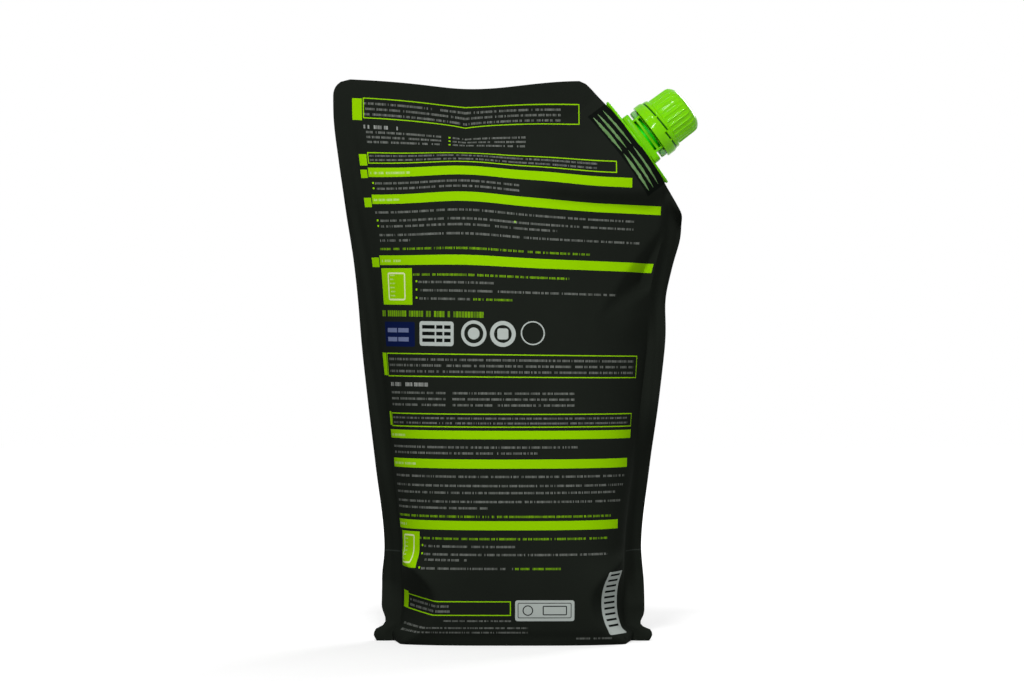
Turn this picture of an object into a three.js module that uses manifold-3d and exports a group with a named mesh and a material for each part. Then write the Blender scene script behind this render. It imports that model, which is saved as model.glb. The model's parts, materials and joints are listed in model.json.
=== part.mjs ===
import * as THREE from 'three';
import { ParametricGeometry } from 'three/addons/geometries/ParametricGeometry.js';
import { mergeVertices } from 'three/addons/utils/BufferGeometryUtils.js';
import Module from 'manifold-3d';

const wasm = await Module();
wasm.setup();

// All sizes in millimetres

// Pouch film, laid flat
const FILM_WIDTH = 170;
const FILM_HEIGHT = 268;
const FILM_THICKNESS = 0.4;
const SIDE_SEAL = 8.5;
const TOP_CORNER_RADIUS = 8;

// Pouch filled: share of film height, share of flat width left, flatness of the panel
const FILLED_SECTIONS = [
  [0.0, 0.745, 2.6],
  [0.06, 0.728, 2.4],
  [0.17, 0.733, 2.0],
  [0.314, 0.782, 1.6],
  [0.42, 0.822, 1.4],
  [0.534, 0.862, 1.25],
  [0.6, 0.88, 1.15],
  [0.67, 0.905, 1.05],
  [0.763, 0.95, 1.0],
  [0.85, 0.982, 1.0],
  [0.94, 1.0, 1.0],
  [1.0, 1.0, 1.0],
];
const LEAN_DEG = 1.5;
const TOP_DIP = 2.4;
const FOOT_FLARE = 3.5;
const FOOT_HEIGHT = 8;

// Cut corner that takes the spout
const CUT_FROM_SIDE = 26.2;
const CUT_FROM_TOP = 28.7;
const SPOUT_ELEVATION_DEG = 36.87;

// Fits
const GAP = 0.3;

// Spout, measured outward from the cut edge of the film
const NECK_RADIUS = 8.9;
const NECK_WALL = 1.5;
const NECK_ABOVE_GUIDE = 19;
const BOAT_LENGTH = 47;
const BOAT_DEPTH = 11;
const BOAT_TIP = 1.4;
const RIB_COUNT = 3;
const RIB_PITCH = 3.2;
const RIB_WIDTH = 1.2;
const RIB_HEIGHT = 0.5;
const LONG_FLANGE_LENGTH = 48.4;
const LONG_FLANGE_LIP = 1.6;
const LONG_FLANGE_TIP = 3;
const LONG_FLANGE_THICKNESS = 1.3;
const THICK_FLANGE_LENGTH = 26.8;
const THICK_FLANGE_THICKNESS = 3.3;
const GUIDE_LIP = 0.6;
const GUIDE_HEIGHT = 4;
const GUIDE_POST = 1.0;
const LOWER_SLOT = { base: 0.1, height: 1.0 };
const UPPER_SLOT = { base: 2.4, height: 1.4 };
const WING_LENGTH = 26;
const WING_DEPTH = 12;
const WING_THICKNESS = 2.4;
const BEAD_STAND = 2.7;
const BEAD_HEIGHT = 1.4;
const BEAD_ABOVE_GUIDE = 2.8;

// Tamper band
const BAND_WALL = 1.6;
const BAND_CLEARANCE = 1.0;
const BAND_HEIGHT = 5.3;
const BAND_SHOULDER = 0.6;
const CATCH_GRIP = 0.7;
const CATCH_HEIGHT = 1.4;

// Screw cap
const THREAD_ROOM = 1.6;
const CAP_WALL = 1.9;
const CAP_ROOF = 2.0;
const CAP_EDGE_RADIUS = 2.2;
const COLLAR_HEIGHT = 1.2;
const FLUTE_COUNT = 30;
const FLUTE_DEPTH = 0.35;

// Sealing disc in the cap
const LINER_THICKNESS = 1.0;

// Facets
const FILM_COLUMNS = 26;
const FILM_ROWS = 46;
const FOOT_ROWS = 3;
const CORNER_ROWS = 4;
const ROUND = 40;
const CURVE = 14;

// Radii and heights of the fitment worked out from the sizes above
const BORE_RADIUS = NECK_RADIUS - NECK_WALL;
const LONG_FLANGE_DEPTH = 2 * (NECK_RADIUS + LONG_FLANGE_LIP);
const GUIDE_DEPTH = 2 * (NECK_RADIUS + GUIDE_LIP);
const GUIDE_LENGTH = GUIDE_DEPTH + GAP;
const BEAD_RADIUS = NECK_RADIUS + BEAD_STAND;
const CATCH_RADIUS = BEAD_RADIUS - CATCH_GRIP;
const BAND_RADIUS = BEAD_RADIUS + BAND_CLEARANCE + BAND_WALL;
const COLLAR_RADIUS = BAND_RADIUS - BAND_SHOULDER - GAP / 3;
const CAP_BORE = NECK_RADIUS + THREAD_ROOM;
const CAP_RADIUS = CAP_BORE + CAP_WALL;
const FLANGE_BASE = 2 * GAP;
const THICK_BASE = FLANGE_BASE + LONG_FLANGE_THICKNESS;
const GUIDE_BASE = THICK_BASE + THICK_FLANGE_THICKNESS;
const GUIDE_TOP = GUIDE_BASE + GUIDE_HEIGHT;
const NECK_TOP = GUIDE_TOP + NECK_ABOVE_GUIDE;
const BAND_BASE = GUIDE_TOP + GAP;
const BEAD_BASE = GUIDE_TOP + BEAD_ABOVE_GUIDE;
const CAP_BASE = BAND_BASE + BAND_HEIGHT + GAP;
const LINER_BASE = NECK_TOP + GAP;
const CAP_CEILING = LINER_BASE + LINER_THICKNESS + GAP;
const CAP_TOP = CAP_CEILING + CAP_ROOF;

const smooth = (from, to, value) => THREE.MathUtils.smoothstep(value, from, to);

// Smooth reading of one column of the filled sections
function sectionValue(share, column) {
  const rows = FILLED_SECTIONS;
  let i = 0;
  while (i < rows.length - 2 && rows[i + 1][0] < share) {
    i += 1;
  }
  const step = (k) => (rows[k + 1][column] - rows[k][column]) / (rows[k + 1][0] - rows[k][0]);
  const slope = (k) => {
    if (k === 0 || k === rows.length - 1 || step(k - 1) * step(k) <= 0) {
      return 0;
    }
    return (2 * step(k - 1) * step(k)) / (step(k - 1) + step(k));
  };
  const span = rows[i + 1][0] - rows[i][0];
  const q = (share - rows[i][0]) / span;
  const start = rows[i][column] * (1 + 2 * q) + span * slope(i) * q;
  const end = rows[i + 1][column] * (3 - 2 * q) - span * slope(i + 1) * (1 - q);
  return start * (1 - q) ** 2 + end * q ** 2;
}

// Run and rise of a film arc whose angle grows from the middle to the seal
function arc(angle, flatness, share) {
  const steps = 40;
  let run = 0;
  let rise = 0;
  for (let k = 0; k < steps; k += 1) {
    const a = angle * (((k + 0.5) / steps) * share) ** flatness;
    run += (Math.cos(a) * share) / steps;
    rise += (Math.sin(a) * share) / steps;
  }
  return { run, rise };
}

// Angle of the film at the side seal that gives the filled width
const angleAt = new Map();
function rootAngle(height) {
  if (!angleAt.has(height)) {
    const body = FILM_WIDTH / 2 - SIDE_SEAL;
    const target = (sectionValue(height / FILM_HEIGHT, 1) * FILM_WIDTH) / 2 - SIDE_SEAL;
    const flatness = sectionValue(height / FILM_HEIGHT, 2);
    let low = 0;
    let high = 2.4;
    for (let k = 0; k < 40; k += 1) {
      const middle = (low + high) / 2;
      if (arc(middle, flatness, 1).run * body > target) {
        low = middle;
      } else {
        high = middle;
      }
    }
    angleAt.set(height, low);
  }
  return angleAt.get(height);
}

// Frame of the spout: its middle on the cut edge and its axis
const spoutCentre = new THREE.Vector3(FILM_WIDTH / 2 - CUT_FROM_SIDE, 0, FILM_HEIGHT - CUT_FROM_TOP);
const elevation = THREE.MathUtils.degToRad(SPOUT_ELEVATION_DEG);
const spoutAxis = new THREE.Vector3(Math.cos(elevation), 0, Math.sin(elevation));
const cutLine = new THREE.Vector3(Math.sin(elevation), 0, -Math.cos(elevation));

// Film swollen round the weld boat
const WELD_SPAN = BOAT_LENGTH / 2 + 5;
const WELD_SWELL = NECK_RADIUS + RIB_HEIGHT + GAP + 2 * FILM_THICKNESS;
function weldSwell(x, z) {
  const from = new THREE.Vector3(x, 0, z).sub(spoutCentre);
  const along = from.dot(cutLine) / WELD_SPAN;
  const inward = -from.dot(spoutAxis);
  const fade = 1 - smooth(BOAT_DEPTH + 1, BOAT_DEPTH + 45, inward);
  return WELD_SWELL * Math.max(0, 1 - along * along) * fade;
}

// Place of a point of the flat film on the filled pouch, with its half depth
function filledPoint(across, height) {
  const share = height / FILM_HEIGHT;
  const body = FILM_WIDTH / 2 - SIDE_SEAL;
  const angle = rootAngle(height);
  const flatness = sectionValue(share, 2);
  const place = Math.min(Math.abs(across) / body, 1);
  const here = arc(angle, flatness, place);
  const seal = Math.max(Math.abs(across) - body, 0);
  const flare = FOOT_FLARE * (seal / SIDE_SEAL) * (1 - smooth(0.5, 1, height / FOOT_HEIGHT));
  const x = Math.sign(across) * (body * here.run + seal + flare);
  const depth = body * (arc(angle, flatness, 1).rise - here.rise);
  const dip = TOP_DIP * (1 - ((2 * across) / FILM_WIDTH) ** 2) * smooth(0.55, 1, share);
  const lean = Math.tan(THREE.MathUtils.degToRad(LEAN_DEG)) * x * smooth(0.35, 0.75, share);
  const z = height - dip - lean;
  const swollen = (depth ** 4 + weldSwell(x, z) ** 4) ** 0.25;
  return { x, z, half: swollen + FILM_THICKNESS };
}

// Ends of a row of film: rounded top corner on one side, cut corner on the other
function rowEnds(height) {
  const above = Math.max(height - (FILM_HEIGHT - TOP_CORNER_RADIUS), 0);
  const round = TOP_CORNER_RADIUS - Math.sqrt(TOP_CORNER_RADIUS ** 2 - above ** 2);
  const outside = (across) => {
    const p = filledPoint(across, height);
    return (p.x - spoutCentre.x) * spoutAxis.x + (p.z - spoutCentre.z) * spoutAxis.z > 0;
  };
  let right = FILM_WIDTH / 2;
  if (outside(right)) {
    let inner = 0;
    for (let k = 0; k < 40; k += 1) {
      const middle = (inner + right) / 2;
      if (outside(middle)) {
        right = middle;
      } else {
        inner = middle;
      }
    }
  }
  return { left: -FILM_WIDTH / 2 + round, right };
}

// Heights of the rows of film, closer together at the feet and at the rounded corner
function rowHeight(row) {
  const foot = (1.2 * FOOT_HEIGHT) / FOOT_ROWS;
  const corner = TOP_CORNER_RADIUS / CORNER_ROWS;
  if (row <= FOOT_ROWS) {
    return foot * row;
  }
  if (row >= FILM_ROWS - CORNER_ROWS) {
    return FILM_HEIGHT - corner * (FILM_ROWS - row);
  }
  const share = (row - FOOT_ROWS) / (FILM_ROWS - FOOT_ROWS - CORNER_ROWS);
  return THREE.MathUtils.lerp(1.2 * FOOT_HEIGHT, FILM_HEIGHT - TOP_CORNER_RADIUS, share);
}

// Pouch surface: up the rows, round the front panel and back along the rear one
function pouchSurface(round, up, target) {
  const slices = 2 * FILM_COLUMNS + 2;
  const stacks = FILM_ROWS + 2;
  const i = Math.round(round * slices) % slices;
  const j = Math.round(up * stacks);
  const row = Math.min(Math.max(j - 1, 0), FILM_ROWS);
  const height = rowHeight(row);
  const front = i <= FILM_COLUMNS;
  const column = front ? i : slices - 1 - i;
  const ends = rowEnds(height);
  const sealShare = SIDE_SEAL / FILM_WIDTH;
  const inner = (column - 1) / (FILM_COLUMNS - 2);
  let share = sealShare + inner * (1 - 2 * sealShare);
  if (column === 0) {
    share = 0;
  }
  if (column === FILM_COLUMNS) {
    share = 1;
  }
  const p = filledPoint(THREE.MathUtils.lerp(ends.left, ends.right, share), height);
  const side = front ? -1 : 1;
  if (j === 0) {
    const root = filledPoint(FILM_WIDTH / 2 - SIDE_SEAL, height).x;
    const onFin = column === 0 || column === FILM_COLUMNS;
    target.set(onFin ? p.x : root * (2 * inner - 1), 0, 0);
  } else {
    target.set(p.x, j === stacks ? 0 : side * p.half, p.z);
  }
}

// Solid for booleans from a three.js geometry
function solid(geometry) {
  geometry.deleteAttribute('normal');
  geometry.deleteAttribute('uv');
  const merged = mergeVertices(geometry, 1e-4);
  const index = Array.from(merged.index.array);
  const kept = [];
  for (let k = 0; k < index.length; k += 3) {
    const [a, b, c] = index.slice(k, k + 3);
    if (a !== b && b !== c && c !== a) {
      kept.push(a, b, c);
    }
  }
  const mesh = new wasm.Mesh({
    numProp: 3,
    vertProperties: new Float32Array(merged.attributes.position.array),
    triVerts: new Uint32Array(kept),
  });
  return new wasm.Manifold(mesh);
}

// Geometry from a finished solid
function geometryOf(body) {
  const mesh = body.getMesh();
  const geometry = new THREE.BufferGeometry();
  geometry.setAttribute('position', new THREE.BufferAttribute(mesh.vertProperties, 3));
  geometry.setIndex(new THREE.BufferAttribute(mesh.triVerts, 1));
  geometry.computeVertexNormals();
  return geometry;
}

const union = (bodies) => bodies.reduce((all, one) => all.add(one));

// Slab of a flat shape between two heights
function slab(shape, base, thickness) {
  const geometry = new THREE.ExtrudeGeometry(shape, {
    depth: thickness,
    bevelEnabled: false,
    curveSegments: CURVE,
  });
  geometry.translate(0, 0, base);
  return solid(geometry);
}

// Round body from its profile of [radius, height] points
function turned(profile) {
  const geometry = new THREE.LatheGeometry(profile.map(([r, h]) => new THREE.Vector2(r, h)), ROUND);
  geometry.rotateX(Math.PI / 2);
  return solid(geometry);
}

const disc = (radius, base, top) => turned([[0, base], [radius, base], [radius, top], [0, top]]);

// Canoe outline: thick in the middle, thin at both tips
function canoe(length, depth, tip) {
  const shape = new THREE.Shape();
  shape.moveTo(-length / 2, -tip / 2);
  shape.quadraticCurveTo(0, -depth + tip / 2, length / 2, -tip / 2);
  shape.lineTo(length / 2, tip / 2);
  shape.quadraticCurveTo(0, depth - tip / 2, -length / 2, tip / 2);
  shape.closePath();
  return shape;
}

// Rectangle with rounded corners
function plate(length, depth, radius) {
  const x = length / 2 - radius;
  const y = depth / 2 - radius;
  const shape = new THREE.Shape();
  shape.absarc(x, -y, radius, -Math.PI / 2, 0);
  shape.absarc(x, y, radius, 0, Math.PI / 2);
  shape.absarc(-x, y, radius, Math.PI / 2, Math.PI);
  shape.absarc(-x, -y, radius, Math.PI, 1.5 * Math.PI);
  shape.closePath();
  return shape;
}

// Weld boat, also used a little larger as the pocket in the pouch
function boat(grow) {
  const outline = canoe(BOAT_LENGTH + 2 * grow, 2 * (NECK_RADIUS + grow), BOAT_TIP + 2 * grow);
  return slab(outline, -BOAT_DEPTH - grow, BOAT_DEPTH + 2 * grow + FLANGE_BASE);
}

// Spout moulding
function spoutBody() {
  const parts = [boat(0)];
  for (let k = 0; k < RIB_COUNT; k += 1) {
    const depth = 2 * (NECK_RADIUS + RIB_HEIGHT);
    const shape = canoe(BOAT_LENGTH, depth, BOAT_TIP + 2 * RIB_HEIGHT);
    parts.push(slab(shape, -RIB_PITCH * (k + 0.75) - RIB_WIDTH / 2, RIB_WIDTH));
  }
  parts.push(
    slab(canoe(LONG_FLANGE_LENGTH, LONG_FLANGE_DEPTH, LONG_FLANGE_TIP), FLANGE_BASE, LONG_FLANGE_THICKNESS)
  );
  parts.push(slab(plate(THICK_FLANGE_LENGTH, GUIDE_DEPTH, 2.5), THICK_BASE, THICK_FLANGE_THICKNESS));
  let guide = slab(plate(GUIDE_LENGTH, GUIDE_DEPTH, 0.8), GUIDE_BASE, GUIDE_HEIGHT);
  for (const { base, height } of [LOWER_SLOT, UPPER_SLOT]) {
    for (const side of [-1, 1]) {
      const reach = 0.7 * NECK_RADIUS;
      const slot = new THREE.BoxGeometry(GUIDE_LENGTH - 2 * GUIDE_POST, 2 * reach, height);
      slot.translate(0, (side * GUIDE_DEPTH) / 2, GUIDE_BASE + base + height / 2);
      guide = guide.subtract(solid(slot));
    }
  }
  parts.push(guide);
  parts.push(slab(plate(WING_LENGTH, WING_DEPTH, 1.5), GUIDE_TOP - WING_THICKNESS, WING_THICKNESS));
  parts.push(disc(NECK_RADIUS, -BOAT_DEPTH, NECK_TOP));
  parts.push(
    turned([
      [0, BEAD_BASE],
      [BEAD_RADIUS, BEAD_BASE],
      [BEAD_RADIUS, BEAD_BASE + BEAD_HEIGHT * 0.4],
      [NECK_RADIUS, BEAD_BASE + BEAD_HEIGHT],
      [0, BEAD_BASE + BEAD_HEIGHT],
    ])
  );
  return union(parts).subtract(disc(BORE_RADIUS, -BOAT_DEPTH - 1, NECK_TOP + 1));
}

// Ring left on the neck when the cap is opened
function bandBody() {
  const top = BAND_BASE + BAND_HEIGHT;
  const inner = BAND_RADIUS - BAND_WALL;
  const outside = turned([
    [0, BAND_BASE],
    [BAND_RADIUS, BAND_BASE],
    [BAND_RADIUS, top - 1.5],
    [BAND_RADIUS - BAND_SHOULDER * 0.4, top - 0.6],
    [BAND_RADIUS - BAND_SHOULDER, top],
    [0, top],
  ]);
  const catchTop = BAND_BASE + CATCH_HEIGHT;
  const hollow = turned([
    [0, BAND_BASE - 1],
    [CATCH_RADIUS, BAND_BASE - 1],
    [CATCH_RADIUS, catchTop],
    [inner, catchTop + 0.4],
    [inner, top + 1],
    [0, top + 1],
  ]);
  return outside.subtract(hollow);
}

// Fluted cap with its plain collar and domed top
function capBody() {
  const top = CAP_TOP;
  const outline = new THREE.Shape();
  const points = 4 * FLUTE_COUNT;
  for (let k = 0; k < points; k += 1) {
    const angle = (k / points) * 2 * Math.PI;
    const radius = CAP_RADIUS - (k % 4 < 2 ? 0 : FLUTE_DEPTH);
    const place = [radius * Math.cos(angle), radius * Math.sin(angle)];
    if (k === 0) {
      outline.moveTo(...place);
    } else {
      outline.lineTo(...place);
    }
  }
  outline.closePath();
  const fluted = slab(outline, CAP_BASE + COLLAR_HEIGHT, top - CAP_BASE - COLLAR_HEIGHT);
  const edge = CAP_EDGE_RADIUS;
  const envelope = [[0, CAP_BASE], [COLLAR_RADIUS, CAP_BASE], [COLLAR_RADIUS, top - edge]];
  for (let k = 0; k <= 5; k += 1) {
    const angle = (k / 5) * (Math.PI / 2);
    const radius = CAP_RADIUS - edge + edge * Math.cos(angle);
    envelope.push([radius, top - edge * 1.15 + edge * Math.sin(angle)]);
  }
  envelope.push([0, top]);
  const collar = turned([
    [0, CAP_BASE],
    [COLLAR_RADIUS, CAP_BASE],
    [CAP_RADIUS, CAP_BASE + COLLAR_HEIGHT],
    [CAP_RADIUS, CAP_BASE + COLLAR_HEIGHT + 1],
    [0, CAP_BASE + COLLAR_HEIGHT + 1],
  ]);
  const hollow = disc(CAP_BORE, CAP_BASE - 1, CAP_CEILING);
  return fluted.intersect(turned(envelope)).add(collar).subtract(hollow);
}

// Materials
const filmMaterial = new THREE.MeshStandardMaterial({ color: '#1c1f1d', roughness: 0.5, metalness: 0 });
const spoutMaterial = new THREE.MeshStandardMaterial({ color: '#79c800', roughness: 0.35, metalness: 0 });
const capMaterial = new THREE.MeshStandardMaterial({ color: '#74cc04', roughness: 0.3, metalness: 0 });
const linerMaterial = new THREE.MeshStandardMaterial({ color: '#e6e8e2', roughness: 0.8, metalness: 0 });

function piece(name, body, material) {
  const mesh = new THREE.Mesh(geometryOf(body), material);
  mesh.name = name;
  return mesh;
}

// Fitment, built upright on its own axis and then turned into the cut corner
const fitment = new THREE.Group();
fitment.name = 'fitment';
fitment.position.copy(spoutCentre);
fitment.rotation.y = Math.PI / 2 - elevation;
fitment.updateMatrix();
fitment.add(piece('spout', spoutBody(), spoutMaterial));
fitment.add(piece('tamper_band', bandBody(), capMaterial));
fitment.add(piece('screw_cap', capBody(), capMaterial));
fitment.add(piece('cap_liner', disc(CAP_BORE - GAP, LINER_BASE, CAP_CEILING - GAP), linerMaterial));

// Pouch with a pocket for the weld boat
const pouchFilm = solid(new ParametricGeometry(pouchSurface, 2 * FILM_COLUMNS + 2, FILM_ROWS + 2));
const pocket = boat(RIB_HEIGHT + GAP).transform(fitment.matrix.toArray());
const pouch = piece('pouch_body', pouchFilm.subtract(pocket), filmMaterial);

const object = new THREE.Group();
object.name = 'refill_pouch';
object.add(pouch);
object.add(fitment);
export default object;
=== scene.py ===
import json
import math

import bmesh
import bpy
import numpy as np
from mathutils import Matrix, Vector


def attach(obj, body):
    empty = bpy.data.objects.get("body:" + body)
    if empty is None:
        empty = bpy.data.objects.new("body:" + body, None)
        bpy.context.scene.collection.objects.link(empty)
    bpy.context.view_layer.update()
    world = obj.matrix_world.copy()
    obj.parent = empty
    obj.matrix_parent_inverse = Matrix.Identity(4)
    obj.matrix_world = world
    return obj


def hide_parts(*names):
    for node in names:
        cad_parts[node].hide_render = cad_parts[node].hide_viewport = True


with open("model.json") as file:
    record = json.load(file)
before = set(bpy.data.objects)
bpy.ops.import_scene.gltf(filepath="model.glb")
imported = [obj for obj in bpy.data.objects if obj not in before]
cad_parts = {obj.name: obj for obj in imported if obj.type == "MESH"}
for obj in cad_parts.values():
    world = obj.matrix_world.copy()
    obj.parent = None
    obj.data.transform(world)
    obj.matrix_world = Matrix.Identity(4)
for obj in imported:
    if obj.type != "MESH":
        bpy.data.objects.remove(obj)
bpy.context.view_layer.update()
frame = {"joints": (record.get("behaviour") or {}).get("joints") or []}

# Pouch film
# Two panels of matt black laminate with a gusset folded in between them at the foot. They are welded
# along both sides, the top and the cut corner, and the wash inside swells them into this form.
MM = 0.001
film_width = 170
film_height = 268
film_half_thickness = 0.25
side_seal = 8.5
top_corner_radius = 8
cut_corner_radius = 2.4
gusset_height = 43
panel_half = film_width / 2 - side_seal

# Share of the film's height, share of its flat width that is left, flatness of the panel
filled_sections = np.array([
    (0, 0.745, 2.6),
    (0.06, 0.728, 2.4),
    (0.17, 0.733, 2.0),
    (0.314, 0.782, 1.6),
    (0.42, 0.822, 1.4),
    (0.534, 0.862, 1.25),
    (0.6, 0.88, 1.15),
    (0.67, 0.905, 1.05),
    (0.763, 0.95, 1),
    (0.85, 0.982, 1),
    (0.94, 1, 1),
    (1, 1, 1),
])

# Outside a bowed line at each lower corner the panel is welded to the gusset, and folds back as a facet
fold_nearest = 36.5
fold_height = 20
fold_bow = 22
fold_turn = 0.85
flank_turn = 1.5
foot_depth = 29
swell_height = 66
swell_power = 2.4
lean_degrees = 1.85

# The valley below the top seal, and the two creases of the hollow shoulder beside the spout
valley_at = -23
upper_crease = ((80, 210), (39, 155))
lower_crease = ((80, 172), (39, 153))

# The cut corner: its middle, the way the spout points and the way the cut runs
turn_joint = next(j for j in frame["joints"] if j["name"] == "cap_turn")
corner_middle = Vector(turn_joint["pos_m"]) / MM
spout_way = Vector(turn_joint["axis"]).normalized()
cut_way = Vector((spout_way.z, 0, -spout_way.x))

# Ribs of the spout that show through the weld, counted in from an edge that bows towards the cap
weld_half = 24
weld_depth = 10.6
weld_ribs = (3.2, 6.2, 8.9)
rib_swell = 0.45
rib_spread = 0.75
boat_swell = 9.9
boat_half = 28.5
edge_bow = 1.1


def eased(low, high, value):
    share = np.clip((value - low) / (high - low), 0, 1)
    return share * share * (3 - 2 * share)


def hump(value, middle, spread):
    return np.exp(-(((value - middle) / spread) ** 2))


def section_value(share, column):
    place = filled_sections[:, 0]
    value = filled_sections[:, column]
    step = np.diff(value) / np.diff(place)
    slope = np.zeros(len(place))
    for k in range(1, len(place) - 1):
        if step[k - 1] * step[k] > 0:
            slope[k] = 2 * step[k - 1] * step[k] / (step[k - 1] + step[k])
    i = np.clip(np.searchsorted(place, share) - 1, 0, len(place) - 2)
    span = place[i + 1] - place[i]
    q = (share - place[i]) / span
    start = value[i] * (1 + 2 * q) + span * slope[i] * q
    end = value[i + 1] * (3 - 2 * q) - span * slope[i + 1] * (1 - q)
    return start * (1 - q) ** 2 + end * q ** 2


# Each row of film is an arc that keeps the film's own length, from the middle to the side seal
arc_steps = 96
arc_ends = np.arange(arc_steps + 1) / arc_steps
arc_middles = (arc_ends[:-1] + arc_ends[1:]) / 2
rows = np.arange(film_height + 1)
row_flatness = section_value(rows / film_height, 2)
row_half_width = section_value(rows / film_height, 1) * film_width / 2 - side_seal
row_fold = fold_nearest + (rows - fold_height) ** 2 / fold_bow
row_folded = 1 - eased(28, 60, rows)


def film_turn(row, angle, places):
    # How far the film has turned away from the front, at places from its middle to the side seal
    fold_at = row_fold[row] / panel_half
    fold = fold_turn * row_folded[row] * eased(fold_at - 0.03, fold_at + 0.03, places)
    return np.minimum(angle * places ** row_flatness[row] + fold, flank_turn)


row_turn = np.zeros((len(rows), arc_steps + 1))
row_run = np.zeros((len(rows), arc_steps + 1))
row_rise = np.zeros((len(rows), arc_steps + 1))
for row in rows:
    low, high = 0.0, 2.4
    for _ in range(32):
        angle = (low + high) / 2
        if np.cos(film_turn(row, angle, arc_middles)).mean() * panel_half > row_half_width[row]:
            low = angle
        else:
            high = angle
    row_turn[row] = film_turn(row, angle, arc_ends)
    row_run[row, 1:] = np.cumsum(np.cos(film_turn(row, angle, arc_middles))) / arc_steps
    row_rise[row, 1:] = np.cumsum(np.sin(film_turn(row, angle, arc_middles))) / arc_steps

# Half the pouch's depth at the middle of each row: the foot is drawn in by the skirt, and swells upwards
row_depth = panel_half * row_rise[:, -1]
foot_rise = 1 - (1 - np.minimum(rows / swell_height, 1)) ** swell_power
low_depth = foot_depth + (row_depth[swell_height] - foot_depth) * foot_rise
row_depth = np.where(rows < swell_height, low_depth, row_depth)


def beside_line(across, up, start, end):
    # Distance from a crease, more than nothing on its right
    way = np.subtract(end, start) / np.hypot(*np.subtract(end, start))
    return (across - start[0]) * -way[1] + (up - start[1]) * way[0]


def panel_relief(across, up, front):
    # Creases and hollows of a panel, outwards
    side = np.abs(across)
    relief = 0.28 * np.sin(across / 13 + up / 31) + 0.22 * np.sin(up / 15 - across / 27 + 1.3)
    relief = relief * eased(0, 25, up)
    # Valley below the top seal
    valley = -2.4 * hump(across, valley_at, 7)
    valley = valley + 0.9 * hump(across, valley_at - 20, 11) + 0.9 * hump(across, valley_at + 21, 12)
    relief = relief + valley * eased(214, 256, up)
    # Hollow shoulder below the spout: a facet that leans in from one crease and ends in another
    below_upper = beside_line(across, up, *upper_crease)
    above_lower = -beside_line(across, up, *lower_crease)
    crest = np.exp(-np.sqrt(below_upper ** 2 + 1) / 11) * eased(140, 168, up) * (1 - eased(204, 218, up))
    relief = relief + 1.9 * crest * eased(34, 46, across)
    below_upper = np.maximum(below_upper, 0) ** 2 / (np.maximum(below_upper, 0) + 2.5)
    facet_slope = 0.62 if front else 0.3
    relief = relief - facet_slope * below_upper * eased(-1, 8, above_lower)
    relief = relief + 2.4 * hump(across, 61, 10) * hump(up, 155, 9)
    # Ledge under the spout's end
    ledge = eased(210, 221, up) - eased(226, 252, up)
    relief = relief + 7 * ledge * eased(-6, 26, across) * (1 - eased(64, 78, across))
    # Welded skirt along the foot
    relief = relief - 0.6 * (1 - eased(4.4, 6.6, up))
    return relief * (1 - eased(panel_half - 3, panel_half, side))


def film_wave(across, up):
    # How far both layers swing together where they are welded
    top = 1.5 * hump(across, valley_at, 10) - 0.8 * hump(across, -50, 14) - 0.6 * hump(across, 8, 14)
    fin = 0.9 * np.sin(up / 17 + across) * eased(6, 30, up) * (1 - eased(215, 250, up))
    fin = fin + 2.2 * hump(up, 13, 6)
    swing = top * eased(232, 262, up) + fin * eased(panel_half - 2, film_width / 2, np.abs(across))
    # The side seals turn back from the panel, and their rims turn out again
    right_upper = 8 * eased(140, 168, up) * (1 - eased(206, 226, up))
    right_lower = 14 * eased(16, 34, up) * (1 - eased(80, 118, up))
    right_back = right_upper + right_lower
    left_lower = 9 * eased(12, 26, up) * (1 - eased(50, 90, up))
    left_upper = 5 * eased(50, 90, up) * (1 - eased(190, 225, up))
    left_back = left_lower + left_upper
    seal = np.clip((np.abs(across) - panel_half) / side_seal, 0, 1)
    return swing + np.where(across > 0, right_back, left_back) * (1 - (1 - seal) ** 2)


def film_creep(across, up):
    # How far the slack film has crept up or down between the seals
    creep = 2.8 * hump(across, valley_at, 25) * eased(155, 222, up) * (1 - eased(228, 246, up))
    creep = creep - 1.5 * eased(8, 45, across) * hump(up, 221, 17)
    creep = creep - 1.3 * np.exp(-np.abs(across - valley_at) / 6) * hump(up, 250, 9)
    return creep - 2.8 * hump(across, valley_at, 29) * eased(0.75 * film_height, film_height, up)


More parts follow.
